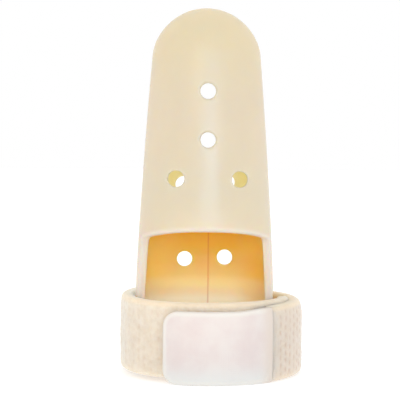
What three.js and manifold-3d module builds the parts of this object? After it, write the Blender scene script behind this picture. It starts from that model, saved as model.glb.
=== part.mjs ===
// Fingertip splint: a thin moulded shell that caps the end of a finger, with a
// window cut out of its lower front, and a soft hook-and-loop band round its base.
// Millimetres, +Z up along the finger towards the tip. The front, with the window
// and the band's closing tab, faces -Y. The part stands on its open end, and the
// origin is on the floor in the middle of its footprint.
import * as THREE from "three";
import { mergeVertices } from "three/addons/utils/BufferGeometryUtils.js";
import Module from "manifold-3d";

const wasm = await Module();
wasm.setup();

// ---------------------------------------------------------------- sizes ----

// Shell, about its own upright axis.
const SHELL_HEIGHT = 64.6;
const DOME_HEIGHT = 8.4; // the rounded tip
const DOME_POWER = 2.03; // 2 is an ellipse, more is squarer
const WALL = 1.25;
const FRONT_POWER = 2.25; // roundness of the front half of a cross-section
const BACK_POWER = 2.5; // the back half is a little flatter
// Height, half width, and depth before and behind the axis.
const SHELL_SECTIONS = [
  { z: 0, halfWidth: 12.5, front: 10.4, back: 10.4 },
  { z: 14, halfWidth: 12.28, front: 10.2, back: 10.25 },
  { z: 24, halfWidth: 11.86, front: 9.75, back: 9.85 },
  { z: 35, halfWidth: 11.19, front: 9.05, back: 8.95 },
  { z: 46, halfWidth: 10.43, front: 8.3, back: 7.7 },
  { z: 56.5, halfWidth: 9.58, front: 7.5, back: 6.2 },
  { z: 66, halfWidth: 8.68, front: 6.75, back: 4.8 },
];

// Window: everything in front of a nearly upright line, and below a line that
// rises towards the front, is open.
const WINDOW_CORNER = { y: -3.9, z: 24.0 };
const WINDOW_SIDE_LEAN = 0.03; // the side edges step back this much for each mm down
const WINDOW_TOP_RISE = 0.28; // the top edge rises this much for each mm forward
const WINDOW_CORNER_RADIUS = 0.7;

// Vent holes, bored straight front to back through one wall each.
const HOLES = [
  { wall: "front", x: 0.12, z: 49.6, radius: 1.37 },
  { wall: "front", x: 0.15, z: 41.2, radius: 1.33 },
  { wall: "front", x: -5.25, z: 34.5, radius: 1.39 },
  { wall: "front", x: 5.65, z: 34.45, radius: 1.37 },
  { wall: "back", x: 0.6, z: 50.5, radius: 1.6 },
  { wall: "back", x: 0.65, z: 41.6, radius: 1.6 },
  { wall: "back", x: -3.8, z: 33.3, radius: 1.5 },
  { wall: "back", x: 4.13, z: 33.75, radius: 1.5 },
  { wall: "back", x: -3.5, z: 19.4, radius: 1.42 },
  { wall: "back", x: 3.95, z: 19.74, radius: 1.42 },
];

// Band of the strap, and the hook tab that ends it.
const BAND_HEIGHT = 12.9;
const BAND_THICKNESS = 1.9;
const TAB_HEIGHT = 12.35;
const TAB_THICKNESS = 1.15;
const TAB_CORNER_RADIUS = 2.5;
const GAP = 0.45; // between the shell and the band
const JOINT_GAP = 0.3; // between the band's tucked end and the tab
const TUCK_LENGTH = 3.2; // how far the band's end runs on behind the tab
const TUCK_DEPTH = 2.3; // inner face of the tucked end, behind the outer face

// The band's outer face in plan, from its inner end on the right, under the tab,
// by the left side and the back to the tab's free end. Rows with an angle lie
// against the shell's back, at that angle from +X. Floor is the height of the
// lower edge, because the band spirals down, and curl is how far the upper edge
// leans in towards the finger.
const BAND_LINE = [
  { x: 14.85, y: 0.4, floor: 0.7, curl: 0.1 },
  { x: 14.8, y: -1.7, floor: 0.7, curl: 0.1 },
  { x: 14.25, y: -3.9, floor: 0.7, curl: 0.15 },
  { x: 13.0, y: -6.1, floor: 0.7, curl: 0.2 },
  { x: 11.2, y: -8.2, floor: 0.7, curl: 0.2 },
  { x: 8.9, y: -10, floor: 0.7, curl: 0.2 },
  { x: 6, y: -11.5, floor: 0.7, curl: 0.2 },
  { x: 2.5, y: -12.4, floor: 0.7, curl: 0.15 },
  { x: -1.2, y: -12.6, floor: 0.7, curl: 0.15 },
  { x: -4.8, y: -12.15, floor: 0.7, curl: 0.2 },
  { x: -8.3, y: -10.95, floor: 0.75, curl: 0.25 },
  { x: -11.35, y: -8.9, floor: 0.85, curl: 0.3 },
  { x: -13.55, y: -6, floor: 0.9, curl: 0.3 },
  { x: -14.65, y: -2.6, floor: 1.0, curl: 0.3 },
  { x: -14.9, y: 1.2, floor: 1.2, curl: 0.25 },
  { angle: 150, floor: 1.3, curl: 0.25 },
  { angle: 131, floor: 1.1, curl: 0.2 },
  { angle: 110, floor: 0.7, curl: 0.2 },
  { angle: 90, floor: 0.4, curl: 0.2 },
  { angle: 70, floor: 0.4, curl: 0.2 },
  { angle: 55, floor: 0.55, curl: 0.3 },
  { x: 12.7, y: 9.4, floor: 0.65, curl: 0.4 },
  { x: 15.4, y: 6.75, floor: 0.6, curl: 0.45 },
  { x: 17.0, y: 3.4, floor: 0.45, curl: 0.5 },
  { x: 17.45, y: -0.2, floor: 0.3, curl: 0.5 },
  { x: 16.85, y: -3.75, floor: 0.25, curl: 0.5 },
  { x: 15.0, y: -7.25, floor: 0.15, curl: 0.4 },
  { x: 11.4, y: -11.1, floor: 0, curl: 0.25 },
  { x: 9.2, y: -12.65, floor: 0, curl: 0.2 },
  { x: 5.3, y: -14.2, floor: 0, curl: 0.15 },
  { x: 1.2, y: -14.8, floor: 0, curl: 0.15 },
  { x: -3.2, y: -14.5, floor: 0, curl: 0.15 },
  { x: -7.4, y: -13.25, floor: 0, curl: 0.15 },
];
const TAB_START_ROW = 27; // the tab begins just past this row of the line
const CURL_REACH = 3.2; // the curl starts this far from an edge
const BOTTOM_CURL = 0.15;
const BAND_LEVELS = [0, 0.12, 0.26, 0.74, 0.88, 1]; // shares of the band's height

const RING_POINTS = 44;
const BAND_STEPS = 92;
const TAB_STEPS = 22;

const COLOURS = {
  shell: { color: 0xeadbc0, roughness: 0.42, metalness: 0 },
  band: { color: 0xead8c2, roughness: 0.95, metalness: 0 },
  tab: { color: 0xefe5df, roughness: 0.7, metalness: 0 },
};

// -------------------------------------------------------------- helpers ----

// Smooth value of a table's column at a place, through all of its rows.
function tableValue(rows, key, column, at) {
  let i = rows.findIndex((row) => row[key] > at) - 1;
  if (i < 0) i = at < rows[0][key] ? 0 : rows.length - 2;
  const p = rows[i],
    q = rows[i + 1];
  const slope = (k) => {
    const a = rows[Math.max(k - 1, 0)],
      b = rows[Math.min(k + 1, rows.length - 1)];
    return (b[column] - a[column]) / (b[key] - a[key]);
  };
  const span = q[key] - p[key];
  const t = (at - p[key]) / span;
  const t2 = t * t,
    t3 = t2 * t;
  return (
    (2 * t3 - 3 * t2 + 1) * p[column] +
    (t3 - 2 * t2 + t) * span * slope(i) +
    (3 * t2 - 2 * t3) * q[column] +
    (t3 - t2) * span * slope(i + 1)
  );
}

// A closed geometry through rings of equal length. Each end closes on its own
// middle point, or on the pole given for it.
function loft(rings, startPole, endPole) {
  const count = rings[0].length;
  const middle = (ring) =>
    ring.reduce((sum, p) => sum.add(p), new THREE.Vector3()).divideScalar(count);
  const points = rings.flat();
  const start = points.push(startPole ?? middle(rings[0])) - 1;
  const end = points.push(endPole ?? middle(rings[rings.length - 1])) - 1;
  const index = [];
  for (let j = 0; j < count; j++) {
    const k = (j + 1) % count;
    index.push(start, k, j);
    for (let i = 0; i + 1 < rings.length; i++) {
      const a = i * count + j,
        b = i * count + k;
      index.push(a, b, b + count, a, b + count, a + count);
    }
    const last = (rings.length - 1) * count;
    index.push(end, last + j, last + k);
  }
  return new THREE.BufferGeometry().setFromPoints(points).setIndex(index);
}

function toSolid(geometry) {
  const bare = geometry.clone();
  for (const name of ["normal", "uv"]) bare.deleteAttribute(name);
  const merged = mergeVertices(bare, 1e-4);
  return new wasm.Manifold(
    new wasm.Mesh({
      numProp: 3,
      vertProperties: new Float32Array(merged.attributes.position.array),
      triVerts: new Uint32Array(merged.index.array),
    }),
  );
}

function toGeometry(solid) {
  const mesh = solid.getMesh();
  const geometry = new THREE.BufferGeometry();
  geometry.setAttribute(
    "position",
    new THREE.BufferAttribute(new Float32Array(mesh.vertProperties), 3),
  );
  geometry.setIndex(new THREE.BufferAttribute(new Uint32Array(mesh.triVerts), 1));
  geometry.computeVertexNormals();
  return geometry;
}

function namedMesh(name, geometry, look) {
  const mesh = new THREE.Mesh(geometry, new THREE.MeshStandardMaterial(look));
  mesh.name = name;
  return mesh;
}

// ---------------------------------------------------------------- shell ----

// The shell's cross-section at a height, inset from the outer face, and shrunk
// by a factor where the dome closes it.
function sectionPoint(z, angle, inset, closing = 1) {
  const halfWidth = tableValue(SHELL_SECTIONS, "z", "halfWidth", z);
  const front = tableValue(SHELL_SECTIONS, "z", "front", z);
  const back = tableValue(SHELL_SECTIONS, "z", "back", z);
  const c = Math.cos(angle),
    s = Math.sin(angle);
  const power = 2 / (s < 0 ? FRONT_POWER : BACK_POWER);
  const shape = (v) => Math.sign(v) * Math.abs(v) ** power;
  const middle = ((back - front) / 2) * (1 - closing);
  return new THREE.Vector3(
    (halfWidth - inset) * shape(c) * closing,
    middle + ((s < 0 ? front : back) - inset) * shape(s) * closing,
    z,
  );
}

function ring(z, inset, closing) {
  return Array.from({ length: RING_POINTS }, (_, i) =>
    sectionPoint(z, (i / RING_POINTS) * 2 * Math.PI, inset, closing),
  );
}

// The closed form inside the outer face by an inset, from a height up.
function cappedForm(inset, bottom) {
  const shoulder = SHELL_HEIGHT - DOME_HEIGHT;
  const rise = DOME_HEIGHT - inset;
  const straightRows = 15,
    domeRows = 7;
  const rings = [];
  for (let i = 0; i <= straightRows; i++)
    rings.push(ring(bottom + ((shoulder - bottom) * i) / straightRows, inset, 1));
  for (let i = 1; i < domeRows; i++) {
    const turn = (i / domeRows) * (Math.PI / 2);
    rings.push(
      ring(
        shoulder + rise * Math.sin(turn) ** (2 / DOME_POWER),
        inset,
        Math.cos(turn) ** (2 / DOME_POWER),
      ),
    );
  }
  const top = sectionPoint(shoulder + rise, 0, inset, 0);
  return loft(rings, null, top);
}

// The window's outline seen from the side, extruded right across the shell.
function windowCutter() {
  const { y, z } = WINDOW_CORNER;
  const far = -20,
    below = -1;
  const down = new THREE.Vector2(WINDOW_SIDE_LEAN, -1).normalize();
  const forward = new THREE.Vector2(-1, WINDOW_TOP_RISE).normalize();
  const half = Math.acos(down.dot(forward)) / 2;
  const reach = WINDOW_CORNER_RADIUS / Math.tan(half);
  const outline = new THREE.Shape();
  outline.moveTo(far, below);
  outline.lineTo(y + (z - below) * WINDOW_SIDE_LEAN, below);
  outline.lineTo(y + down.x * reach, z + down.y * reach);
  outline.quadraticCurveTo(y, z, y + forward.x * reach, z + forward.y * reach);
  outline.lineTo(far, z + (y - far) * WINDOW_TOP_RISE);
  outline.closePath();
  const depth = 40;
  const cutter = new THREE.ExtrudeGeometry(outline, {
    depth,
    bevelEnabled: false,
    curveSegments: 5,
  });
  // The outline lies in Y and Z, and the extrusion runs along X.
  return cutter
    .translate(0, 0, -depth / 2)
    .applyMatrix4(
      new THREE.Matrix4().makeBasis(
        new THREE.Vector3(0, 1, 0),
        new THREE.Vector3(0, 0, 1),
        new THREE.Vector3(1, 0, 0),
      ),
    );
}

function splintShell() {
  let shell = toSolid(cappedForm(0, 0)).subtract(toSolid(cappedForm(WALL, -1)));
  shell = shell.subtract(toSolid(windowCutter()));
  const depth = 16;
  for (const { wall, x, z, radius } of HOLES) {
    const side = wall === "front" ? -1 : 1;
    const bore = new THREE.CylinderGeometry(radius, radius, depth, 24);
    bore.translate(x, (side * depth) / 2, z);
    shell = shell.subtract(toSolid(bore));
  }
  return toGeometry(shell);
}

// ----------------------------------------------------------------- band ----

// The point of the band's outer face where it lies against the shell's back.
function againstShell(degrees) {
  const angle = THREE.MathUtils.degToRad(degrees),
    step = 1e-3;
  const point = sectionPoint(0, angle, 0);
  const along = sectionPoint(0, angle + step, 0).sub(
    sectionPoint(0, angle - step, 0),
  );
  const out = new THREE.Vector3(along.y, -along.x, 0).normalize();
  return point.add(out.multiplyScalar(GAP + BAND_THICKNESS));
}

const linePoints = BAND_LINE.map((row) =>
  row.angle === undefined
    ? new THREE.Vector3(row.x, row.y, 0)
    : againstShell(row.angle),
);
const line = new THREE.CatmullRomCurve3(linePoints, false, "centripetal");
line.arcLengthDivisions = 2000;
const lineLength = line.getLength();

// Where each row of the line lies, in millimetres along it.
const rowLengths = linePoints.map((_, row) => {
  const lengths = line.getLengths();
  return lengths[Math.round((row / (linePoints.length - 1)) * (lengths.length - 1))];
});
const bandRows = BAND_LINE.map((row, i) => ({ ...row, along: rowLengths[i] }));

// A cross-section of a strip that follows the line: faces at two depths behind
// it, edges at two heights, both curled in.
function bandSection(along, outer, inner, low, high) {
  const share = Math.min(along / lineLength, 1);
  const point = line.getPointAt(share);
  const tangent = line.getTangentAt(share);
  const inward = new THREE.Vector3(tangent.y, -tangent.x, 0).normalize();
  const floor = tableValue(bandRows, "along", "floor", along);
  const top = tableValue(bandRows, "along", "curl", along);
  const curled = (z) => {
    const fromTop = Math.max(0, 1 - (floor + BAND_HEIGHT - z) / CURL_REACH);
    const fromBottom = Math.max(0, 1 - (z - floor) / CURL_REACH);
    return top * fromTop ** 2 + BOTTOM_CURL * fromBottom ** 2;
  };
  const at = (level, depth) => {
    const z = low + (high - low) * level;
    const p = point.clone().addScaledVector(inward, depth + curled(z));
    p.z = z;
    return p;
  };
  return [
    ...BAND_LEVELS.map((level) => at(level, outer)),
    ...BAND_LEVELS.toReversed().map((level) => at(level, inner)),
  ];
}

// A band's ends close level by level, so that a curved end stays true.
function strip(sections) {
  const count = sections[0].length;
  const index = [];
  for (let i = 0; i + 1 < sections.length; i++)
    for (let j = 0; j < count; j++) {
      const k = (j + 1) % count;
      const a = i * count + j,
        b = i * count + k;
      index.push(a, b, b + count, a, b + count, a + count);
    }
  const last = (sections.length - 1) * count;
  for (let j = 0; j + 1 < BAND_LEVELS.length; j++) {
    const other = count - 1 - j;
    index.push(j, other - 1, j + 1, j, other, other - 1);
    index.push(last + j, last + j + 1, last + other - 1);
    index.push(last + j, last + other - 1, last + other);
  }
  return new THREE.BufferGeometry()
    .setFromPoints(sections.flat())
    .setIndex(index);
}

const joint = rowLengths[TAB_START_ROW];

function strapBand() {
  const sections = [];
  for (let i = 0; i <= BAND_STEPS; i++) {
    const along = (joint * i) / BAND_STEPS;
    const t = THREE.MathUtils.clamp(1 - (joint - along) / 4, 0, 1);
    const inner = BAND_THICKNESS + (TUCK_DEPTH - BAND_THICKNESS) * t * t;
    const floor = tableValue(bandRows, "along", "floor", along);
    sections.push(bandSection(along, 0, inner, floor, floor + BAND_HEIGHT));
  }
  const tuckSteps = 5;
  for (let i = 0; i <= tuckSteps; i++) {
    const along = joint + 0.05 + (TUCK_LENGTH * i) / tuckSteps;
    sections.push(
      bandSection(
        along,
        TAB_THICKNESS + JOINT_GAP,
        TUCK_DEPTH,
        0.5,
        TAB_HEIGHT - 0.5,
      ),
    );
  }
  return strip(sections);
}

function hookTab() {
  const start = joint + JOINT_GAP + 0.05;
  const length = lineLength - start;
  const stations = [];
  for (let i = 0; i <= TAB_STEPS; i++)
    stations.push(((length - TAB_CORNER_RADIUS) * i) / TAB_STEPS);
  const cornerSteps = 6;
  for (let i = 1; i <= cornerSteps; i++)
    stations.push(
      length -
        TAB_CORNER_RADIUS *
          (1 - Math.sin((i / cornerSteps) * (Math.PI / 2))),
    );
  return strip(
    stations.map((s) => {
      const across = Math.max(0, TAB_CORNER_RADIUS - (length - s));
      const trim =
        TAB_CORNER_RADIUS -
        Math.sqrt(Math.max(0, TAB_CORNER_RADIUS ** 2 - across ** 2));
      return bandSection(start + s, 0, TAB_THICKNESS, trim, TAB_HEIGHT - trim);
    }),
  );
}

// ------------------------------------------------------------- assembly ----

const splint = new THREE.Group();
const parts = new THREE.Group();
parts.add(namedMesh("splint_shell", splintShell(), COLOURS.shell));
parts.add(namedMesh("strap_band", strapBand(), COLOURS.band));
parts.add(namedMesh("hook_tab", hookTab(), COLOURS.tab));

// The origin is in the middle of the footprint.
const middle = new THREE.Box3()
  .setFromObject(parts)
  .getCenter(new THREE.Vector3());
parts.position.set(-middle.x, -middle.y, 0);
splint.add(parts);
splint.updateMatrixWorld(true);

export default splint;
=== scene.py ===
import math

import bpy
import numpy as np
from mathutils import Matrix, Vector


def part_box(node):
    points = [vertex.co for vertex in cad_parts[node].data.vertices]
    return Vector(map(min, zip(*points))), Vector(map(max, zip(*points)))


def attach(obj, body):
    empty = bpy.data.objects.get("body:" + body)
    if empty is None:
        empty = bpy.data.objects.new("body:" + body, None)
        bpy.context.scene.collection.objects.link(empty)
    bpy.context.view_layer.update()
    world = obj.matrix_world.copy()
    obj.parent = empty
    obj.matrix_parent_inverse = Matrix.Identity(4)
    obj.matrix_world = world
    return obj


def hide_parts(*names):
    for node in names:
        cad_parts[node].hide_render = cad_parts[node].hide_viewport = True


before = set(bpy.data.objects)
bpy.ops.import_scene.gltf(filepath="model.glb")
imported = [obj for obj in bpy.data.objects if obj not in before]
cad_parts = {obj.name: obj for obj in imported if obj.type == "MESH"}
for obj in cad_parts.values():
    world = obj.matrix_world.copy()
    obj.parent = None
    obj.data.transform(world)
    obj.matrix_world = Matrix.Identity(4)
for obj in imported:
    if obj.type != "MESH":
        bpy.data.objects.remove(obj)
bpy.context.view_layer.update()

# ------------------------------------------------------------------ sizes ----
# Millimetres about the shell's own upright axis, as the fixed model has them.

SHELL_HEIGHT, DOME_HEIGHT, DOME_POWER = 64.6, 8.4, 2.03
WALL, FRONT_POWER, BACK_POWER = 1.25, 2.25, 2.5
#           z, half width, front depth, back depth
SECTIONS = np.array(
    [
        (0, 12.5, 10.4, 10.4),
        (14, 12.28, 10.2, 10.25),
        (24, 11.86, 9.75, 9.85),
        (35, 11.19, 9.05, 8.95),
        (46, 10.43, 8.3, 7.7),
        (56.5, 9.58, 7.5, 6.2),
        (66, 8.68, 6.75, 4.8),
    ]
)
WINDOW_CORNER = (-3.9, 24.0)
WINDOW_SIDE_LEAN, WINDOW_TOP_RISE, WINDOW_CORNER_RADIUS = 0.03, 0.28, 0.7
#        side, x, z, radius
HOLES = [
    (-1, 0.12, 49.6, 1.37),
    (-1, 0.15, 41.2, 1.33),
    (-1, -5.25, 34.5, 1.39),
    (-1, 5.65, 34.45, 1.37),
    (1, 0.6, 50.5, 1.6),
    (1, 0.65, 41.6, 1.6),
    (1, -3.8, 33.3, 1.5),
    (1, 4.13, 33.75, 1.5),
    (1, -3.5, 19.4, 1.42),
    (1, 3.95, 19.74, 1.42),
]
SEAM_X, SEAM_DEPTH = 0.9, 0.1
CUT_EDGE_ROUND, HOLE_EDGE_ROUND, FOOT_EDGE_ROUND = 0.44, 0.28, 0.45

BAND_HEIGHT, BAND_THICKNESS = 12.9, 1.9
TAB_HEIGHT, TAB_THICKNESS, TAB_CORNER_RADIUS = 12.35, 1.15, 2.5
GAP, TUCK_LENGTH, TUCK_DEPTH = 0.45, 3.2, 2.3
# The strap's outer face in plan, as x and y or an angle against the shell's
# back, with the height of its lower edge and the lean of its upper edge.
BAND_LINE = [
    ((14.85, 0.4), 0.7, 0.1),
    ((14.8, -1.7), 0.7, 0.1),
    ((14.25, -3.9), 0.7, 0.15),
    ((13.0, -6.1), 0.7, 0.2),
    ((11.2, -8.2), 0.7, 0.2),
    ((8.9, -10.0), 0.7, 0.2),
    ((6.0, -11.5), 0.7, 0.2),
    ((2.5, -12.4), 0.7, 0.15),
    ((-1.2, -12.6), 0.7, 0.15),
    ((-4.8, -12.15), 0.7, 0.2),
    ((-8.3, -10.95), 0.75, 0.25),
    ((-11.35, -8.9), 0.85, 0.3),
    ((-13.55, -6.0), 0.9, 0.3),
    ((-14.65, -2.6), 1.0, 0.3),
    ((-14.9, 1.2), 1.2, 0.25),
    (150, 1.3, 0.25),
    (131, 1.1, 0.2),
    (110, 0.7, 0.2),
    (90, 0.4, 0.2),
    (70, 0.4, 0.2),
    (55, 0.55, 0.3),
    ((12.7, 9.4), 0.65, 0.4),
    ((15.4, 6.75), 0.6, 0.45),
    ((17.0, 3.4), 0.45, 0.5),
    ((17.45, -0.2), 0.3, 0.5),
    ((16.85, -3.75), 0.25, 0.5),
    ((15.0, -7.25), 0.15, 0.4),
    ((11.4, -11.1), 0, 0.25),
    ((9.2, -12.65), 0, 0.2),
    ((5.3, -14.2), 0, 0.15),
    ((1.2, -14.8), 0, 0.15),
    ((-3.2, -14.5), 0, 0.15),
    ((-7.4, -13.25), 0, 0.15),
]
TAB_START_ROW = 27
CURL_REACH, BOTTOM_CURL = 3.2, 0.15
JOINT_GAP = 0.03  # the visible seam between the band and the tab
HOOK_BASE = 0.28  # the layer that the tab's hooks stand on

low, high = (np.array(p) * 1000 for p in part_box("splint_shell"))
AXIS = np.array([(low[0] + high[0]) / 2, high[1] - SECTIONS[0, 3], 0.0])


# ---------------------------------------------------------------- helpers ----


def table(rows, column, at):
    """Smooth values of a table's column at places along its first column."""
    key, value = rows[:, 0], rows[:, column]
    slope = np.empty(len(rows))
    slope[1:-1] = (value[2:] - value[:-2]) / (key[2:] - key[:-2])
    slope[0] = (value[1] - value[0]) / (key[1] - key[0])
    slope[-1] = (value[-1] - value[-2]) / (key[-1] - key[-2])
    i = np.clip(np.searchsorted(key, at, "right") - 1, 0, len(rows) - 2)
    span = key[i + 1] - key[i]
    t = (at - key[i]) / span
    return (
        (2 * t**3 - 3 * t**2 + 1) * value[i]
        + (t**3 - 2 * t**2 + t) * span * slope[i]
        + (3 * t**2 - 2 * t**3) * value[i + 1]
        + (t**3 - t**2) * span * slope[i + 1]
    )


def smooth(low_edge, high_edge, value):
    t = np.clip((value - low_edge) / (high_edge - low_edge), 0, 1)
    return t * t * (3 - 2 * t)


def lattice(seed, *cells):
    """Random numbers from 0 to 1 at whole-numbered places, the same each run."""
    h = np.full(cells[0].shape, seed * 374761393 % 4294967291, np.uint64)
    for n, c in enumerate(cells):
        h = (h ^ (c.astype(np.int64) + 1000003).astype(np.uint64)) * np.uint64(
            2654435761 + 2 * n
        )
        h &= np.uint64(0xFFFFFFFF)
        h ^= h >> np.uint64(15)
    h = (h * np.uint64(2246822519)) & np.uint64(0xFFFFFFFF)
    h ^= h >> np.uint64(13)
    return h.astype(float) / 4294967295.0


def noise(seed, x, y):
    """Smooth noise from -1 to 1 over a plane."""
    i, j = np.floor(x).astype(int), np.floor(y).astype(int)
    u, v = x - i, y - j
    u, v = u * u * (3 - 2 * u), v * v * (3 - 2 * v)
    a, b = lattice(seed, i, j), lattice(seed, i + 1, j)
    c, d = lattice(seed, i, j + 1), lattice(seed, i + 1, j + 1)
    return 2 * ((a * (1 - u) + b * u) * (1 - v) + (c * (1 - u) + d * u) * v) - 1


def make_mesh(name, points_mm, faces, normals=None, attributes=None):
    """A mesh object from points about the shell's axis, in millimetres."""
    points = (np.asarray(points_mm) + AXIS) * 0.001
    faces = np.asarray(faces)
    mesh = bpy.data.meshes.new(name)
    mesh.vertices.add(len(points))
    mesh.vertices.foreach_set("co", points.astype(np.float32).ravel())
    count, side = faces.shape
    mesh.loops.add(count * side)
    mesh.loops.foreach_set("vertex_index", faces.astype(np.int32).ravel())
    mesh.polygons.add(count)
    mesh.polygons.foreach_set(
        "loop_start", np.arange(0, count * side, side, dtype=np.int32)
    )
    mesh.polygons.foreach_set("loop_total", np.full(count, side, np.int32))
    mesh.update(calc_edges=True)
    mesh.validate()
    for key, values in (attributes or {}).items():
        layer = mesh.attributes.new(key, "FLOAT", "POINT")
        layer.data.foreach_set("value", np.asarray(values, np.float32))
    mesh.polygons.foreach_set("use_smooth", np.ones(len(mesh.polygons), bool))
    if normals is not None:
        mesh.normals_split_custom_set_from_vertices(
            np.asarray(normals, np.float32).tolist()
        )
    obj = bpy.data.objects.new(name, mesh)
    bpy.context.scene.collection.objects.link(obj)
    return obj


# ------------------------------------------------------------ shell's form ----


def form(x, y, z, inset):
    """Below 0 inside the capped form that lies an inset within the outer face."""
    half = table(SECTIONS, 1, z) - inset
    front, back = table(SECTIONS, 2, z), table(SECTIONS, 3, z)
    shoulder = SHELL_HEIGHT - DOME_HEIGHT
    up = np.maximum((z - shoulder) / (DOME_HEIGHT - inset), 0)
    closing = np.maximum(1 - np.minimum(up, 1) ** DOME_POWER, 0) ** (1 / DOME_POWER)
    y = y - (back - front) / 2 * (1 - closing)
    ahead = y < 0
    depth = np.where(ahead, front, back) - inset
    power = np.where(ahead, FRONT_POWER, BACK_POWER)
    around = ((np.abs(x) / half) ** power + (np.abs(y) / depth) ** power) ** (1 / power)
    return (around**DOME_POWER + up**DOME_POWER) ** (1 / DOME_POWER) - 1


def form_distance(x, y, z, inset):
    step = 2e-3
    here = form(x, y, z, inset)
    slope = np.sqrt(
        (form(x + step, y, z, inset) - here) ** 2
        + (form(x, y + step, z, inset) - here) ** 2
        + (form(x, y, z + step, inset) - here) ** 2
    )
    return here * step / np.maximum(slope, 1e-6)


def round_both(a, b, radius):
    """Inside of both a and b, with the edge where they meet rounded off."""
    return np.minimum(-radius, np.maximum(a, b)) + np.hypot(
        np.maximum(radius + a, 0), np.maximum(radius + b, 0)
    )


def shell_distance(x, y, z):
    outer = form_distance(x, y, z, 0)
    inner = form_distance(x, y, z, WALL)
    seam = SEAM_DEPTH * np.exp(-(((x - SEAM_X) / 0.16) ** 2)) * (y > 2) * (z < 40)
    wall = np.maximum(outer, -(inner - seam))
    # The window.
    side = np.array([-1.0, -WINDOW_SIDE_LEAN])
    side /= np.linalg.norm(side)
    above = np.array([WINDOW_TOP_RISE, 1.0])
    above /= np.linalg.norm(above)
    dy, dz = y - WINDOW_CORNER[0], z - WINDOW_CORNER[1]
    behind = -(dy * side[0] + dz * side[1])
    over = dy * above[0] + dz * above[1]
    cut = round_both(behind, over, WINDOW_CORNER_RADIUS)
    wall = round_both(wall, -cut, CUT_EDGE_ROUND)
    wall = round_both(wall, -z, FOOT_EDGE_ROUND)
    bore = np.full(x.shape, 99.0)
    for way, hx, hz, radius in HOLES:
        bore = np.minimum(
            bore, np.maximum(np.hypot(x - hx, z - hz) - radius, -way * y)
        )
    return round_both(wall, -bore, HOLE_EDGE_ROUND)


def surface_nets(values, start, step):
    """Quads round the zero surface of a grid of distances."""
    inside = values < 0
    nx, ny, nz = (n - 1 for n in values.shape)
    corners = [(a, b, c) for a in (0, 1) for b in (0, 1) for c in (0, 1)]
    total = sum(inside[a : a + nx, b : b + ny, c : c + nz].astype(np.int8) for a, b, c in corners)
    cell = np.argwhere((total > 0) & (total < 8))
    ids = np.full((nx, ny, nz), -1, np.int64)
    ids[tuple(cell.T)] = np.arange(len(cell))
    at = np.zeros((len(cell), 3))
    hits = np.zeros(len(cell))
    for a in corners:
        for axis in range(3):
            if a[axis]:
                continue
            b = tuple(1 if n == axis else a[n] for n in range(3))
            va = values[tuple((cell + a).T)]
            vb = values[tuple((cell + b).T)]
            cross = (va < 0) != (vb < 0)
            t = np.where(cross, va / np.where(cross, va - vb, 1), 0)
            point = np.array(a, float) + t[:, None] * (np.array(b) - np.array(a))
            at += point * cross[:, None]
            hits += cross
    points = (cell + at / hits[:, None]) * step + start
    quads = []
    for axis in range(3):
        u, v = (axis + 1) % 3, (axis + 2) % 3
        near = [slice(1, n) for n in (nx, ny, nz)]
        near[axis] = slice(0, (nx, ny, nz)[axis])
        far = list(near)
        far[axis] = slice(1, (nx, ny, nz)[axis] + 1)
        a, b = inside[tuple(near)], inside[tuple(far)]
        edge = np.argwhere(a != b)
        leaving = a[tuple(edge.T)]
        base = edge.copy()
        base[:, u] += 1
        base[:, v] += 1
        ring = []
        for du, dv in ((-1, -1), (0, -1), (0, 0), (-1, 0)):
            c = base.copy()
            c[:, u] += du
            c[:, v] += dv
            ring.append(ids[tuple(c.T)])
        ring = np.stack(ring, 1)
        ring[~leaving] = ring[~leaving][:, ::-1]
        quads.append(ring)
    return points, np.concatenate(quads)


def build_shell(step):
    # A column of cells is centred on the seam, so that its groove is crisp.
    start = np.array([SEAM_X - step * (math.ceil(14.5 / step) + 0.5), -11.5, -0.7])
    size = [int(math.ceil(n / step)) for n in (28.4, 23.2, 66.6)]
    gx, gy, gz = (start[n] + np.arange(size[n]) * step for n in range(3))
    values = np.empty(size)
    block = 24
    for k in range(0, size[2], block):
        x, y, z = np.meshgrid(gx, gy, gz[k : k + block], indexing="ij")
        values[:, :, k : k + block] = shell_distance(x, y, z)
    points, quads = surface_nets(values, start, step)
    for _ in range(3):
        d, n = distance_and_normal(points)
        points = points - np.clip(d, -step, step)[:, None] * n
    d, n = distance_and_normal(points)
    return points, quads, n


def distance_and_normal(points):
    x, y, z = points.T
    e = 4e-3
    here = shell_distance(x, y, z)
    n = np.stack(
        [
            shell_distance(x + e, y, z) - here,
            shell_distance(x, y + e, z) - here,
            shell_distance(x, y, z + e) - here,
        ],
        1,
    )
    n /= np.maximum(np.linalg.norm(n, axis=1), 1e-9)[:, None]
    return here, n


# ------------------------------------------------------------- strap's line ----


def section_point(angle):
    c, s = math.cos(angle), math.sin(angle)
    p = 2 / (FRONT_POWER if s < 0 else BACK_POWER)
    depth = SECTIONS[0, 2] if s < 0 else SECTIONS[0, 3]
    return np.array(
        [
            SECTIONS[0, 1] * math.copysign(abs(c) ** p, c),
            depth * math.copysign(abs(s) ** p, s),
        ]
    )


def against_shell(degrees):
    angle, step = math.radians(degrees), 1e-3
    along = section_point(angle + step) - section_point(angle - step)
    out = np.array([along[1], -along[0]]) / np.hypot(*along)
    return section_point(angle) + out * (GAP + BAND_THICKNESS)


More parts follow.
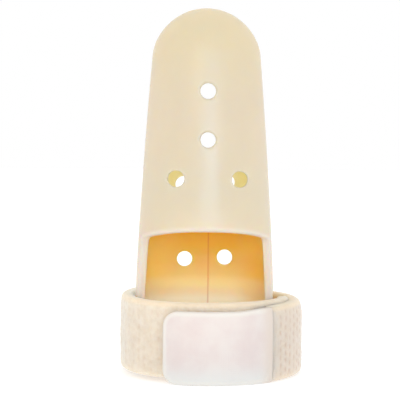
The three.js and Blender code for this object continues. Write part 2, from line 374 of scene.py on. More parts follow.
def smooth_line(points, each=200):
    """A smooth curve through points, and the lengths along it."""
    p = np.vstack([2 * points[0] - points[1], points, 2 * points[-1] - points[-2]])
    out, rows = [], []
    t = np.arange(each)[:, None] / each
    for i in range(1, len(p) - 2):
        d0, d1, d2 = (
            math.sqrt(math.hypot(*(p[k + 1] - p[k]))) for k in (i - 1, i, i + 1)
        )
        m1 = (
            (p[i] - p[i - 1]) / d0
            - (p[i + 1] - p[i - 1]) / (d0 + d1)
            + (p[i + 1] - p[i]) / d1
        ) * d1
        m2 = (
            (p[i + 1] - p[i]) / d1
            - (p[i + 2] - p[i]) / (d1 + d2)
            + (p[i + 2] - p[i + 1]) / d2
        ) * d1
        rows.append(len(out) * each)
        out.append(
            (2 * t**3 - 3 * t**2 + 1) * p[i]
            + (t**3 - 2 * t**2 + t) * m1
            + (3 * t**2 - 2 * t**3) * p[i + 1]
            + (t**3 - t**2) * m2
        )
    line = np.vstack(out + [p[-2][None]])
    lengths = np.concatenate(
        [[0], np.cumsum(np.hypot(*np.diff(line, axis=0).T))]
    )
    rows.append(len(line) - 1)
    return line, lengths, lengths[rows]


LINE, LENGTHS, ROW_LENGTHS = smooth_line(
    np.array(
        [against_shell(p) if np.isscalar(p) else p for p, _, _ in BAND_LINE], float
    )
)
BAND_ROWS = np.array([(s, row[1], row[2]) for s, row in zip(ROW_LENGTHS, BAND_LINE)])
LINE_LENGTH = LENGTHS[-1]
JOINT = ROW_LENGTHS[TAB_START_ROW]
TANGENTS = np.gradient(LINE, LENGTHS, axis=0)
TANGENTS /= np.hypot(*TANGENTS.T)[:, None]


def along_line(s):
    at = np.stack([np.interp(s, LENGTHS, LINE[:, n]) for n in (0, 1)], -1)
    t = np.stack([np.interp(s, LENGTHS, TANGENTS[:, n]) for n in (0, 1)], -1)
    t /= np.hypot(t[..., 0], t[..., 1])[..., None]
    return at, t


def band_floor(s):
    return table(BAND_ROWS, 1, s)


def place(s, z, depth):
    """Points at lengths along the line, at heights and depths behind its face."""
    at, t = along_line(s)
    inward = np.stack([t[..., 1], -t[..., 0]], -1)
    floor, curl = band_floor(s), table(BAND_ROWS, 2, s)
    from_top = np.maximum(0, 1 - (floor + BAND_HEIGHT - z) / CURL_REACH)
    from_bottom = np.maximum(0, 1 - (z - floor) / CURL_REACH)
    depth = depth + curl * from_top**2 + BOTTOM_CURL * from_bottom**2
    xy = at + inward * depth[..., None]
    return np.concatenate([xy, z[..., None]], -1)


def edge_levels(length, radius, step):
    """Places from 0 to length, closer together by both ends."""
    turn = np.linspace(0, math.pi / 2, 7)[:-1]
    near = radius * (1 - np.cos(turn))
    count = max(2, int(round((length - 2 * radius) / step)))
    middle = np.linspace(radius, length - radius, count + 1)
    return np.concatenate([near, middle, length - near[::-1]])


def slab(
    s0, s1, floor, height, outer, inner, edge, corner0, corner1, step, relief=None, rise=None
):
    """A strip of the line with rounded edges and corners, as points and quads.

    floor, outer and inner are functions of the length along the line, and relief
    gives how far the outer and inner faces stand proud of them, and rise how much
    taller the strip is, as a share. An end whose corner is 0 is cut square, to meet
    the next strip."""
    length = s1 - s0
    su = edge_levels(length, edge, step[0])
    if corner1 > edge:
        turn = np.linspace(0, math.pi / 2, 14)[1:]
        su = np.unique(
            np.concatenate(
                [
                    su[su < length - corner1 - 1e-6],
                    length - corner1 * (1 - np.sin(turn)),
                    [length - corner1],
                ]
            )
        )
    sv = edge_levels(height, edge, step[1]) / height
    su, sv = np.meshgrid(su, sv, indexing="ij")
    s = s0 + su
    trim0 = corner0 - np.sqrt(
        np.maximum(corner0**2 - np.maximum(corner0 - su, 0) ** 2, 0)
    )
    trim1 = corner1 - np.sqrt(
        np.maximum(corner1**2 - np.maximum(corner1 - (length - su), 0) ** 2, 0)
    )
    trim = np.maximum(trim0, trim1)
    h = trim + (height - 2 * trim) * sv
    # Distance in from the strip's rounded outline.
    first = su < length / 2
    corner = np.where(first, corner0, corner1)
    qs = np.abs(su - length / 2) - (length / 2 - corner)
    qs = np.where(corner > 0, qs, -99.0)
    qh = np.abs(h - height / 2) - (height / 2 - corner)
    within = corner - np.hypot(np.maximum(qs, 0), np.maximum(qh, 0)) - np.minimum(
        np.maximum(qs, qh), 0
    )
    fall = edge - np.sqrt(
        np.maximum(edge**2 - np.maximum(edge - within, 0) ** 2, 0)
    )
    z = floor(s) + h * (1 + rise(s) if rise else 1)
    proud_out, proud_in, extra = (
        relief(s, h, within) if relief else (0 * s, 0 * s, {})
    )
    out_face = place(s, z, outer(s) + fall - proud_out)
    in_face = place(s, z, inner(s) - fall + proud_in)
    n, m = s.shape
    ids = np.arange(n * m).reshape(n, m)
    a, b, c, d = ids[:-1, :-1], ids[1:, :-1], ids[1:, 1:], ids[:-1, 1:]
    face = np.stack([a, d, c, b], -1).reshape(-1, 4)
    other = np.stack([a, b, c, d], -1).reshape(-1, 4) + n * m
    loop = np.concatenate(
        [ids[0, :-1], ids[:-1, -1], ids[-1, :0:-1], ids[:0:-1, 0]]
    )
    after = np.roll(loop, -1)
    rim = np.stack([loop, loop + n * m, after + n * m, after], -1)
    points = np.concatenate([out_face.reshape(-1, 3), in_face.reshape(-1, 3)])
    attributes = {
        "along": np.tile(s.ravel(), 2),
        "across": np.tile(h.ravel(), 2),
        "within": np.tile(within.ravel(), 2),
        "inner": np.concatenate([np.zeros(n * m), np.ones(n * m)]),
    }
    for key, value in extra.items():
        attributes[key] = np.tile(value.ravel(), 2)
    return points, np.concatenate([face, other, rim]), attributes


def joined(*pieces):
    points, quads, count = [], [], 0
    keys = set.union(*(set(p[2]) for p in pieces))
    attributes = {k: [] for k in keys}
    for p, q, attrs in pieces:
        points.append(p)
        quads.append(q + count)
        count += len(p)
        for k in keys:
            attributes[k].append(attrs.get(k, np.zeros(len(p))))
    return (
        np.concatenate(points),
        np.concatenate(quads),
        {k: np.concatenate(v) for k, v in attributes.items()},
    )


def outward(obj):
    """Turns a closed mesh's faces outward if its volume says that they point in."""
    mesh = obj.data
    mesh.calc_loop_triangles()
    co = np.empty(len(mesh.vertices) * 3)
    mesh.vertices.foreach_get("co", co)
    co = co.reshape(-1, 3)
    tri = np.empty(len(mesh.loop_triangles) * 3, np.int64)
    mesh.loop_triangles.foreach_get("vertices", tri)
    a, b, c = (co[tri.reshape(-1, 3)[:, n]] for n in range(3))
    if (a * np.cross(b, c)).sum() < 0:
        mesh.flip_normals()
        mesh.update()


# --------------------------------------------------------------- materials ----


class Nodes:
    """A short way of writing a material's nodes."""

    def __init__(self, name):
        self.material = bpy.data.materials.new(name)
        self.material.use_nodes = True
        self.tree = self.material.node_tree
        self.tree.nodes.clear()
        self.out = self.add("ShaderNodeOutputMaterial")
        self.bsdf = self.add("ShaderNodeBsdfPrincipled")
        self.link(self.bsdf.outputs["BSDF"], self.out.inputs["Surface"])
        coords = self.add("ShaderNodeTexCoord")
        self.place = coords.outputs["Object"]

    def add(self, kind, **settings):
        node = self.tree.nodes.new(kind)
        for key, value in settings.items():
            setattr(node, key, value)
        return node

    def link(self, a, b):
        self.tree.links.new(a, b)

    def put(self, socket, value):
        if isinstance(value, bpy.types.NodeSocket):
            self.link(value, socket)
        elif value is not None:
            socket.default_value = value

    def attribute(self, name):
        return self.add("ShaderNodeAttribute", attribute_name=name).outputs["Fac"]

    def math(self, operation, a, b=None, c=None, clamp=False):
        node = self.add("ShaderNodeMath", operation=operation, use_clamp=clamp)
        for n, value in enumerate((a, b, c)):
            self.put(node.inputs[n], value)
        return node.outputs[0]

    def noise(self, scale, detail=3.0, roughness=0.5, vector=None, stretch=None):
        node = self.add("ShaderNodeTexNoise")
        node.inputs["Scale"].default_value = scale
        node.inputs["Detail"].default_value = detail
        node.inputs["Roughness"].default_value = roughness
        vector = vector or self.place
        if stretch:
            m = self.add("ShaderNodeMapping")
            m.inputs["Scale"].default_value = stretch
            self.link(vector, m.inputs["Vector"])
            vector = m.outputs[0]
        self.link(vector, node.inputs["Vector"])
        return node.outputs["Fac"]

    def ramp(self, value, low_in, high_in, low_out=0.0, high_out=1.0, smooth_step=True):
        node = self.add(
            "ShaderNodeMapRange",
            interpolation_type="SMOOTHSTEP" if smooth_step else "LINEAR",
        )
        self.link(value, node.inputs["Value"])
        for n, v in zip(
            ("From Min", "From Max", "To Min", "To Max"),
            (low_in, high_in, low_out, high_out),
        ):
            node.inputs[n].default_value = v
        return node.outputs["Result"]

    def mix(self, factor, a, b, blend="MIX"):
        node = self.add("ShaderNodeMix", data_type="RGBA", blend_type=blend)
        self.put(node.inputs["Factor"], factor)
        for n, value in ((6, a), (7, b)):
            if isinstance(value, tuple):
                value = (*value, 1.0)
            self.put(node.inputs[n], value)
        return node.outputs[2]

    def height(self):
        split = self.add("ShaderNodeSeparateXYZ")
        self.link(self.place, split.inputs[0])
        return split.outputs[2]

    def sideways(self):
        split = self.add("ShaderNodeSeparateXYZ")
        self.link(self.place, split.inputs[0])
        return split.outputs[0]

    def backwards(self):
        split = self.add("ShaderNodeSeparateXYZ")
        self.link(self.place, split.inputs[0])
        return split.outputs[1]

    def bump(self, height, distance, strength=1.0, normal=None):
        node = self.add("ShaderNodeBump")
        node.inputs["Strength"].default_value = strength
        node.inputs["Distance"].default_value = distance
        self.link(height, node.inputs["Height"])
        if normal:
            self.link(normal, node.inputs["Normal"])
        return node.outputs[0]


def srgb(r, g, b):
    return tuple(
        c / 255 / 12.92 if c <= 0.04045 * 255 else ((c / 255 + 0.055) / 1.055) ** 2.4
        for c in (r, g, b)
    )


def shell_plastic():
    n = Nodes("ivory_plastic")
    inner, rim = n.attribute("inside"), n.attribute("rim")
    z = n.height()
    cloud = n.noise(90.0, 3.0, 0.55)
    outside = n.mix(cloud, srgb(211, 194, 169), srgb(215, 199, 175))
    # Painted shade: lower down the outside is a little less red, which offsets the light that comes
    # through the wall there.
    root = n.ramp(z, 0.046, 0.030)
    outside = n.mix(root, outside, n.mix(cloud, srgb(205, 193, 169), srgb(209, 198, 175)))
    # Painted light: up on the dome the outside is yellower, for the warmer light that falls there.
    tip = n.ramp(z, 0.046, 0.060)
    outside = n.mix(tip, outside, n.mix(cloud, srgb(214, 195, 163), srgb(217, 199, 168)))
    # Inside, the colour is painted light and shade: pale by the open end and amber deeper in and by
    # the sides, for the light that comes through the thin wall and bounces about in the hollow, and
    # for the shade under the hood. Up in the closed end it is paler again.
    across = n.math("SUBTRACT", n.sideways(), (AXIS[0] + SEAM_X) * 0.001)
    right = n.ramp(across, 0.0045, 0.0095)
    across = n.math("ABSOLUTE", across)
    pale = n.mix(cloud, srgb(255, 236, 210), srgb(255, 239, 215))
    amber = n.mix(cloud, srgb(234, 194, 48), srgb(234, 199, 56))
    # Painted light: towards the sides the amber is lighter.
    amber = n.mix(n.ramp(across, 0.003, 0.010), amber, srgb(240, 208, 112))
    depth = n.ramp(z, 0.0120, 0.0190, smooth_step=False)
    # Painted shade: low down by the sides the wall is coloured deeper.
    beside = n.math("MULTIPLY", n.ramp(across, 0.003, 0.011), 0.34)
    beside = n.math("MULTIPLY", beside, n.ramp(z, 0.0195, 0.0155))
    depth = n.math("ADD", depth, n.math("MULTIPLY", beside, n.ramp(z, 0.011, 0.0145)), clamp=True)
    inside = n.mix(depth, pale, amber)
    # Painted shade: in the middle, between the low part and the hood's edge, the wall is darkened.
    middle = n.math("MULTIPLY", n.ramp(z, 0.0136, 0.0168), n.ramp(z, 0.0222, 0.0186))
    middle = n.math("MULTIPLY", middle, n.ramp(across, 0.0110, 0.0055))
    inside = n.mix(n.math("MULTIPLY", middle, 0.55), inside, srgb(206, 188, 130))
    # Painted shade: the right side below the hood is a deeper amber.
    right = n.math("MULTIPLY", right, n.ramp(z, 0.0215, 0.0180))
    inside = n.mix(n.math("MULTIPLY", right, 0.45), inside, srgb(225, 184, 62))
    # Painted light: low down, just above the strap, the colour is steered to a light cream.
    lower = n.math("MULTIPLY", n.ramp(z, 0.0120, 0.0140), n.ramp(z, 0.0168, 0.0150))
    inside = n.mix(n.math("MULTIPLY", lower, 0.45), inside, srgb(236, 213, 174))
    # Painted light: up in the closed end the wall is pale again.
    far_up = n.ramp(z, 0.0255, 0.029)
    inside = n.mix(far_up, inside, srgb(255, 222, 166))
    # The faint line of the mould's joint runs down the inner face.
    seam = n.ramp(across, 0.00018, 0.00006)
    seam = n.math("MULTIPLY", seam, n.math("MULTIPLY", inner, 0.38))
    seam = n.math("MULTIPLY", seam, n.ramp(n.backwards(), 0.0015, 0.0025))
    inside = n.mix(seam, inside, srgb(190, 112, 40))
    colour = n.mix(inner, outside, inside)
    # Partly painted highlight: along the window's cut edge the colour is a lighter, greyer cream, for
    # the light its rounded edge catches; it also keeps the inner and outer tones from mixing there.
    colour = n.mix(n.math("MULTIPLY", rim, 0.8), colour, srgb(213, 205, 196))
    n.put(n.bsdf.inputs["Base Color"], colour)
    grain = n.noise(2600.0, 2.0, 0.6)
    scuff = n.noise(260.0, 4.0, 0.65, stretch=(1.0, 1.0, 0.25))
    rough = n.math("ADD", n.ramp(scuff, 0.3, 0.75, 0.38, 0.5), n.math("MULTIPLY", grain, 0.04))
    n.put(n.bsdf.inputs["Roughness"], rough)
    normal = n.bump(grain, 0.00002, 0.35)
    normal = n.bump(n.noise(110.0, 2.0, 0.5), 0.00025, 0.2, normal)
    n.put(n.bsdf.inputs["Normal"], normal)
    n.bsdf.inputs["IOR"].default_value = 1.46
    n.bsdf.inputs["Specular IOR Level"].default_value = 0.32
    n.bsdf.inputs["Coat Weight"].default_value = 0.35
    n.bsdf.inputs["Coat Roughness"].default_value = 0.24
    n.bsdf.inputs["Coat IOR"].default_value = 1.4
    # Light passes through the wall, and loses its blue on the way. Behind the
    # strap the wall is backed, so that hardly any does.
    n.bsdf.inputs["Subsurface Weight"].default_value = 1.0
    n.bsdf.inputs["Subsurface Scale"].default_value = 0.005
    reach = n.mix(depth, (1.0, 0.7, 0.45), (1.0, 0.46, 0.12))
    reach = n.mix(far_up, reach, (0.8, 0.6, 0.36))
    reach = n.mix(n.math("MULTIPLY", inner, far_up), reach, (2.2, 1.7, 1.1))
    backed = n.ramp(z, 0.0150, 0.0126)
    reach = n.mix(n.math("MULTIPLY", backed, 0.96), reach, (0.05, 0.045, 0.04))
    reach = n.mix(n.math("MULTIPLY", rim, 0.8), reach, (0.1, 0.09, 0.08))
    n.put(n.bsdf.inputs["Subsurface Radius"], reach)
    return n.material


def loop_fabric():
    n = Nodes("loop_pile")
    dash, inner = n.attribute("dash"), n.attribute("inner")
    mottle = n.noise(700.0, 4.0, 0.65)
    broad = n.noise(150.0, 2.0, 0.5)
    colour = n.mix(n.ramp(mottle, 0.3, 0.7), srgb(206, 195, 180), srgb(216, 207, 194))
    colour = n.mix(n.math("MULTIPLY", broad, 0.3), colour, srgb(214, 199, 179))
    # From the right side round to the joint the band is coloured darker and pinker.
    right_front_stretch = n.ramp(n.attribute("along"), ROW_LENGTHS[23], ROW_LENGTHS[25])
    colour = n.mix(n.math("MULTIPLY", right_front_stretch, 0.55), colour, srgb(209, 188, 172))
    # Painted shade: the dents in the pile's columns are coloured darker.
    colour = n.mix(n.math("MULTIPLY", dash, 0.6), colour, srgb(190, 155, 138))
    colour = n.mix(n.math("MULTIPLY", inner, 0.9), colour, srgb(224, 193, 154))
    # Behind the shell its inner face is near white and lets the light through further, which stands in
    # for light reaching the shell's lower inner wall: painted light.
    behind = n.ramp(n.attribute("along"), ROW_LENGTHS[11], ROW_LENGTHS[12])
    behind = n.math("MULTIPLY", behind, n.ramp(n.attribute("along"), ROW_LENGTHS[20], ROW_LENGTHS[19]))
    colour = n.mix(n.math("MULTIPLY", inner, behind), colour, srgb(255, 245, 220))
    # Along the edges the colour is warmer and less white than the face, less so at the bottom: painted
    # shade that tones down the light the rounded edges catch.
    edge = n.ramp(n.attribute("within"), 1.1, 0.3, 0.0, 0.6)
    edge = n.math("MULTIPLY", edge, n.ramp(n.height(), 0.0015, 0.0045, 0.5, 1.0))
    colour = n.mix(edge, colour, srgb(227, 200, 168))
    n.put(n.bsdf.inputs["Base Color"], colour)
    n.bsdf.inputs["Roughness"].default_value = 0.95
    n.bsdf.inputs["Specular IOR Level"].default_value = 0.15
    n.bsdf.inputs["Sheen Weight"].default_value = 0.36
    n.bsdf.inputs["Sheen Roughness"].default_value = 0.4
    n.bsdf.inputs["Sheen Tint"].default_value = (1.0, 0.97, 0.92, 1.0)
    n.bsdf.inputs["Subsurface Weight"].default_value = 1.0
    reach = n.mix(n.math("MULTIPLY", inner, behind), (1.0, 0.85, 0.65), (4.0, 3.6, 3.0))
    n.put(n.bsdf.inputs["Subsurface Radius"], reach)
    n.bsdf.inputs["Subsurface Scale"].default_value = 0.005
    fibre = n.noise(3800.0, 3.0, 0.7)
    curl = n.noise(1500.0, 2.0, 0.5)
    normal = n.bump(fibre, 0.00006, 0.6)
    normal = n.bump(curl, 0.00016, 0.5, normal)
    n.put(n.bsdf.inputs["Normal"], normal)
    return n.material


def tab_tape():
    n = Nodes("hook_tape")
    within, along = n.attribute("within"), n.attribute("along")
    mottle = n.noise(240.0, 3.0, 0.55)
    colour = n.mix(n.ramp(mottle, 0.3, 0.7), srgb(211, 197, 192), srgb(215, 205, 199))
    low_part = n.ramp(n.height(), 0.0045, 0.0, 0.0, 0.8)
    colour = n.mix(low_part, colour, srgb(213, 213, 208))
    edge = n.ramp(within, 1.0, 0.45, 0.0, 0.7)
    colour = n.mix(n.math("MULTIPLY", edge, n.attribute("free")), colour, srgb(218, 213, 205))
    # By the joint the tape takes on the band's tone.
    joint = n.ramp(along, JOINT + 3.2, JOINT + 0.2, 0.0, 0.75)
    colour = n.mix(joint, colour, srgb(212, 197, 183))
    n.put(n.bsdf.inputs["Base Color"], colour)
    n.put(n.bsdf.inputs["Roughness"], n.ramp(mottle, 0.25, 0.75, 0.55, 0.7))
    n.bsdf.inputs["Specular IOR Level"].default_value = 0.3
    n.bsdf.inputs["Sheen Weight"].default_value = 0.15
    n.bsdf.inputs["Sheen Roughness"].default_value = 0.4
    n.bsdf.inputs["Subsurface Weight"].default_value = 0.2
    n.bsdf.inputs["Subsurface Radius"].default_value = (1.0, 0.75, 0.6)
    n.bsdf.inputs["Subsurface Scale"].default_value = 0.0007
    # The tape's close weave: fine warp and weft ribs.
    comb = n.add("ShaderNodeCombineXYZ")
    n.link(along, comb.inputs[0])
    n.link(n.attribute("across"), comb.inputs[1])
    weft = n.add("ShaderNodeTexWave", wave_type="BANDS", bands_direction="X")
    weft.inputs["Scale"].default_value = 1.1
    weft.inputs["Distortion"].default_value = 0.6
    warp = n.add("ShaderNodeTexWave", wave_type="BANDS", bands_direction="Y")
    warp.inputs["Scale"].default_value = 0.9
    warp.inputs["Distortion"].default_value = 0.6
    for wave in (weft, warp):
        n.link(comb.outputs[0], wave.inputs["Vector"])
    weave = n.math("MULTIPLY", weft.outputs["Fac"], warp.outputs["Fac"])
    normal = n.bump(weave, 0.00003, 0.35)
    normal = n.bump(n.noise(900.0, 3.0, 0.6), 0.00005, 0.35, normal)
    n.put(n.bsdf.inputs["Normal"], normal)
    return n.material


def hook_nylon():
    n = Nodes("hook_nylon")
    tone = n.noise(1200.0, 2.0, 0.5)
    n.put(
        n.bsdf.inputs["Base Color"],
        n.mix(tone, srgb(226, 217, 208), srgb(244, 238, 231)),
    )
    n.put(n.bsdf.inputs["Roughness"], n.ramp(tone, 0.3, 0.7, 0.35, 0.5))
    n.bsdf.inputs["Subsurface Weight"].default_value = 0.2
    n.bsdf.inputs["Subsurface Scale"].default_value = 0.0004
    return n.material


# ------------------------------------------------------------------ camera ----

DISTANCE, EYE, AZIMUTH, LENS = 0.205, 0.0369, -1.7, 103.3
axis = Vector((AXIS[0] * 0.001, AXIS[1] * 0.001, 0.0))
turn = math.radians(AZIMUTH)
eye = axis + Vector((math.sin(turn) * DISTANCE, -math.cos(turn) * DISTANCE, EYE))
aim = axis + Vector((-0.00094, 0.0, 0.03065))
ROLL = 0.5

cam = bpy.data.cameras.new("camera")
cam.lens, cam.sensor_width = LENS, 36.0
cam.clip_start, cam.clip_end = 0.01, 20.0
camera = bpy.data.objects.new("camera", cam)
bpy.context.scene.collection.objects.link(camera)
facing = (aim - eye).to_track_quat("-Z", "Y").to_matrix().to_4x4()
camera.matrix_world = (
    Matrix.Translation(eye) @ facing @ Matrix.Rotation(math.radians(ROLL), 4, "Z")
)
bpy.context.scene.camera = camera

# ------------------------------------------------------------------- shell ----

points, quads, normals = build_shell(0.32)
x, y, z = points.T
inside_face = smooth(0.35, 0.65, -form_distance(x, y, z, 0) / WALL)
# How near each point is to the window's cut edge, where the material paints a highlight.
cut = np.hypot(
    np.maximum(
        0, np.abs((y - WINDOW_CORNER[0]) - (WINDOW_CORNER[1] - z) * WINDOW_SIDE_LEAN)
    ),
    0,
)
lip = np.abs((z - WINDOW_CORNER[1]) + (y - WINDOW_CORNER[0]) * WINDOW_TOP_RISE)
near_side = np.where((z < WINDOW_CORNER[1] + 0.2), cut, 99)
near_lip = np.where((y < WINDOW_CORNER[0] + 0.2), lip, 99)
rim = 1 - smooth(0.15, 0.95, np.minimum(near_side, near_lip))
shell = make_mesh(
    "shell_moulding", points, quads, normals, {"inside": inside_face, "rim": rim}
)
shell.data.materials.append(shell_plastic())
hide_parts("splint_shell")
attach(shell, "root")

# ------------------------------------------------------------------- strap ----

DASH_ALONG, DASH_UP = 1.35, 1.43


def band_relief(s, h, within):
    """Loop pile: soft mottled lumps, and short dents in upright columns."""
    share = s / LINE_LENGTH
    column = np.floor(s / DASH_ALONG)
    row_shift = 0.5 * (column % 2) + 0.25 * lattice(5, column, 0 * column)
    row = np.floor(h / DASH_UP + row_shift)
    jitter_s = 0.22 * (lattice(11, column, row) - 0.5)
    jitter_h = 0.18 * (lattice(12, column, row) - 0.5)
    ds = s - (column + 0.5) * DASH_ALONG - jitter_s
    dh = h - (row + 0.5 - row_shift) * DASH_UP - jitter_h
    dash = np.exp(-((ds / 0.2) ** 2) - (np.abs(dh) / 0.42) ** 3)
    dash *= 0.55 + 0.45 * lattice(13, column, row)
    strength = 0.35 + 0.65 * smooth(0.6, 0.7, share)
    dash *= strength * smooth(0.5, 1.1, within) * smooth(1.3, 2.2, JOINT - s)
    lump = noise(21, s / 0.62, h / 0.66) * 0.045 + noise(22, s / 0.27, h / 0.3) * 0.03
    swell = noise(23, s / 3.1, h / 2.7) * 0.05
    keep = smooth(0.0, 0.5, within) * smooth(0.0, 1.2, JOINT - s)
    # The inner end is pushed out against the turn that covers it.
    pushed = 0.22 + 0.14 * smooth(ROW_LENGTHS[3], ROW_LENGTHS[4], s)
    pushed = pushed * (1 - smooth(ROW_LENGTHS[6], ROW_LENGTHS[8], s))
    return pushed + (lump + swell) * keep - 0.15 * dash, 0.03 * noise(24, s / 0.8, h / 0.8) * keep, {
        "dash": dash
    }


def band_inner(s):
    """The soft foam fills most of the gap to the shell, and to the turn within."""
    full = smooth(ROW_LENGTHS[11], ROW_LENGTHS[13], s)
    full *= 1 - 0.7 * smooth(ROW_LENGTHS[12], ROW_LENGTHS[14], s)
    full = np.maximum(full, smooth(ROW_LENGTHS[15], ROW_LENGTHS[16], s))
    t = np.clip(1 - (JOINT - s) / 4, 0, 1)
    return BAND_THICKNESS + np.maximum(
        0.24 * full, (TUCK_DEPTH - BAND_THICKNESS) * t * t
    )


grain = ((0.2, 0.18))
band = slab(
    0.0,
    JOINT,
    band_floor,
    BAND_HEIGHT,
    lambda s: 0 * s,
    band_inner,
    0.62,
    1.1,
    0.0,
    grain,
    band_relief,
)


def tab_rise(s):
    """By the joint the tab comes up to the band's own height."""
    return 0.036 * (1 - smooth(0.0, 7.5, s - JOINT))


tongue = slab(
    JOINT - 0.7,
    JOINT + TUCK_LENGTH,
    lambda s: 0 * s + 0.12,
    TAB_HEIGHT - 0.24,
    lambda s: 0 * s + TAB_THICKNESS + 0.35,
    lambda s: 0 * s + TUCK_DEPTH - 0.05,
    0.28,
    0.3,
    0.8,
    (0.4, 0.4),
    rise=tab_rise,
)
band_points, band_quads, band_attributes = joined(band, tongue)
strap = make_mesh("strap_loop_band", band_points, band_quads, None, band_attributes)
outward(strap)
strap.data.set_sharp_from_angle(angle=math.radians(55))
strap.data.materials.append(loop_fabric())
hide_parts("strap_band")
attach(strap, "root")

TAB_START = JOINT + JOINT_GAP


def tab_relief(s, h, within):
    wave = 0.07 * noise(31, s / 4.2, h / 3.6) + 0.02 * noise(32, s / 1.3, h / 1.1)
    # Small puckers where the tape is fixed on, by the lower corner.
    near = np.exp(-(((s - TAB_START - 1.0) / 1.1) ** 2)) * smooth(7.5, 1.5, h)
    pucker = 0.07 * near * np.sin((h * 0.55 + 1.2 * (s - TAB_START)) * 4.4)
    # A thin raised border along the tape's free edges.
    border = 0.05 * np.exp(-(((within - 0.42) / 0.22) ** 2))
    keep = smooth(0.0, 0.5, within) * smooth(0.0, 1.2, s - TAB_START)
    free = smooth(0.0, 2.0, s - TAB_START)
    return (wave + pucker) * keep + border * free, -0.02 + 0 * s, {"free": free}


tab = slab(
    TAB_START,
    LINE_LENGTH,
    lambda s: 0 * s,
    TAB_HEIGHT,
    lambda s: 0 * s,
    lambda s: 0 * s + TAB_THICKNESS + HOOK_BASE,
    0.34,
    0.0,
    TAB_CORNER_RADIUS,
    (0.2, 0.2),
    tab_relief,
    tab_rise,
)
closing_tab = make_mesh("closing_tab", tab[0], tab[1], None, tab[2])
outward(closing_tab)
closing_tab.data.set_sharp_from_angle(angle=math.radians(55))
closing_tab.data.materials.append(tab_tape())
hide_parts("hook_tab")
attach(closing_tab, "root")


def hook_field():
    """Rows of little hooks on the tab's inner face."""
    points, quads = [], []
    stem = np.array([(0, 0), (0, 0.2), (0.02, 0.34), (0.1, 0.42), (0.2, 0.4), (0.26, 0.32)])
    start, end = TAB_START + TUCK_LENGTH + 0.6, LINE_LENGTH - 0.8
    columns = np.arange(start, end, 0.72)
    for i, s in enumerate(columns):
        for j in range(int((TAB_HEIGHT - 1.6) / 0.68)):
            h = 0.8 + 0.68 * j + 0.34 * (i % 2)
            ds, dh = max(0, TAB_CORNER_RADIUS - (LINE_LENGTH - s)), max(
                0, TAB_CORNER_RADIUS - min(h, TAB_HEIGHT - h)
            )
            if h > TAB_HEIGHT - 0.7 or math.hypot(ds, dh) > TAB_CORNER_RADIUS - 0.5:
                continue
            way = 1 if (i + j) % 2 else -1
            rings = []
            for k, (reach, rise) in enumerate(stem):
                radius = 0.085 if k < len(stem) - 1 else 0.05
                tilt = math.atan2(*(stem[min(k + 1, 5)] - stem[max(k - 1, 0)]))
                for a in range(5):
                    turn_a = 2 * math.pi * a / 5
                    off = radius * math.cos(turn_a)
                    rings.append(
                        (
                            s + radius * math.sin(turn_a),
                            h + way * (reach + off * math.cos(tilt)),
                            TAB_THICKNESS + HOOK_BASE - 0.04 + rise - off * math.sin(tilt),
                        )
                    )
            base = len(points)
            points.extend(rings)
            for k in range(len(stem) - 1):
                for a in range(5):
                    b = (a + 1) % 5
                    quads.append(
                        (
                            base + k * 5 + a,
                            base + k * 5 + b,
                            base + (k + 1) * 5 + b,
                            base + (k + 1) * 5 + a,
                        )
                    )
            # Both ends are closed, each by two quads that share its first point.
            for ring_start in (base, base + (len(stem) - 1) * 5):
                r = [ring_start + a for a in range(5)]
                caps = [(r[0], r[1], r[2], r[3]), (r[0], r[3], r[4], r[4])]
                if ring_start == base:
                    caps = [c[::-1] for c in caps]
                quads.extend(caps)
    s, h, depth = np.array(points).T
    at = place(s, h, depth)
    return at, quads


hook_points, hook_quads = hook_field()
mesh = bpy.data.meshes.new("hook_field")
mesh.from_pydata(
    ((hook_points + AXIS) * 0.001).tolist(),
    [],
    [tuple(dict.fromkeys(q)) for q in hook_quads],
)
mesh.validate()
hooks = bpy.data.objects.new("hook_field", mesh)
bpy.context.scene.collection.objects.link(hooks)
mesh.polygons.foreach_set("use_smooth", np.ones(len(mesh.polygons), bool))
outward(hooks)
mesh.materials.append(hook_nylon())
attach(hooks, "root")

# ------------------------------------------------------------------- stage ----

floor_mesh = bpy.data.meshes.new("floor")
R, N = 8.0, 96
ring_points = [
    (R * math.cos(2 * math.pi * k / N), R * math.sin(2 * math.pi * k / N), -0.00002)
    for k in range(N)
]
floor_mesh.from_pydata(ring_points, [], [tuple(range(N))])
floor = bpy.data.objects.new("floor", floor_mesh)
bpy.context.scene.collection.objects.link(floor)
paper = Nodes("white_paper")
paper.put(
    paper.bsdf.inputs["Base Color"],
    paper.mix(paper.noise(40.0), (0.61, 0.61, 0.61), (0.63, 0.63, 0.63)),
)
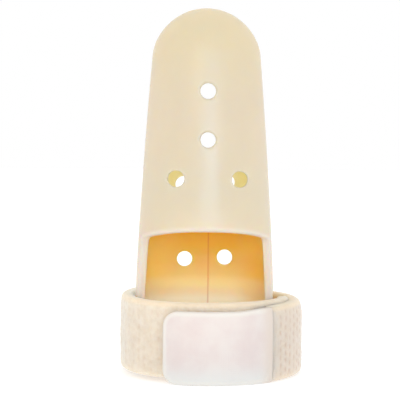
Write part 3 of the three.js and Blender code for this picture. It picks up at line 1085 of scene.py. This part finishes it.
# The floor is a softly lit table, which keeps its shadows pale.
paper.bsdf.inputs["Emission Color"].default_value = (1.0, 1.0, 1.0, 1.0)
paper.bsdf.inputs["Emission Strength"].default_value = 0.5
paper.bsdf.inputs["Roughness"].default_value = 0.9
paper.bsdf.inputs["Specular IOR Level"].default_value = 0.1
floor_mesh.materials.append(paper.material)

world = bpy.data.worlds.new("studio")
bpy.context.scene.world = world
world.use_nodes = True
background = world.node_tree.nodes["Background"]
background.inputs["Color"].default_value = (1.0, 1.0, 1.0, 1.0)
background.inputs["Strength"].default_value = 1.0


def lamp(name, azimuth, elevation, distance, size, power, tint=(1, 1, 1)):
    data = bpy.data.lights.new(name, "AREA")
    data.shape, data.size, data.energy, data.color = "DISK", size, power, tint
    a, e = math.radians(azimuth), math.radians(elevation)
    target = axis + Vector((0, 0, 0.03))
    at = target + distance * Vector(
        (math.sin(a) * math.cos(e), -math.cos(a) * math.cos(e), math.sin(e))
    )
    obj = bpy.data.objects.new(name, data)
    obj.matrix_world = (
        Matrix.Translation(at) @ (target - at).to_track_quat("-Z", "Y").to_matrix().to_4x4()
    )
    bpy.context.scene.collection.objects.link(obj)


lamp("key", 5.5, 8.5, 0.6, 0.12, 0.8, (0.36, 0.64, 1.0))
lamp("fill", -8, 20, 0.6, 0.22, 0.4, (1.0, 0.82, 0.44))


# A narrow beam through the window lights the low part of the inner wall.
spot = bpy.data.lights.new("beam", "SPOT")
spot.energy, spot.color = 14.0, (1.0, 0.82, 0.64)
spot.spot_size, spot.spot_blend, spot.shadow_soft_size = math.radians(1.25), 1.0, 0.012
beam = bpy.data.objects.new("beam", spot)
target = axis + Vector((0.0, 0.009, 0.0105))
tilt = math.radians(17)
at = target + 0.6 * Vector((-0.01, -math.cos(tilt), math.sin(tilt)))
beam.matrix_world = (
    Matrix.Translation(at) @ (target - at).to_track_quat("-Z", "Y").to_matrix().to_4x4()
)
bpy.context.scene.collection.objects.link(beam)

scene = bpy.context.scene
scene.view_settings.view_transform = "Standard"
scene.view_settings.look = "None"
scene.view_settings.exposure = 0.0
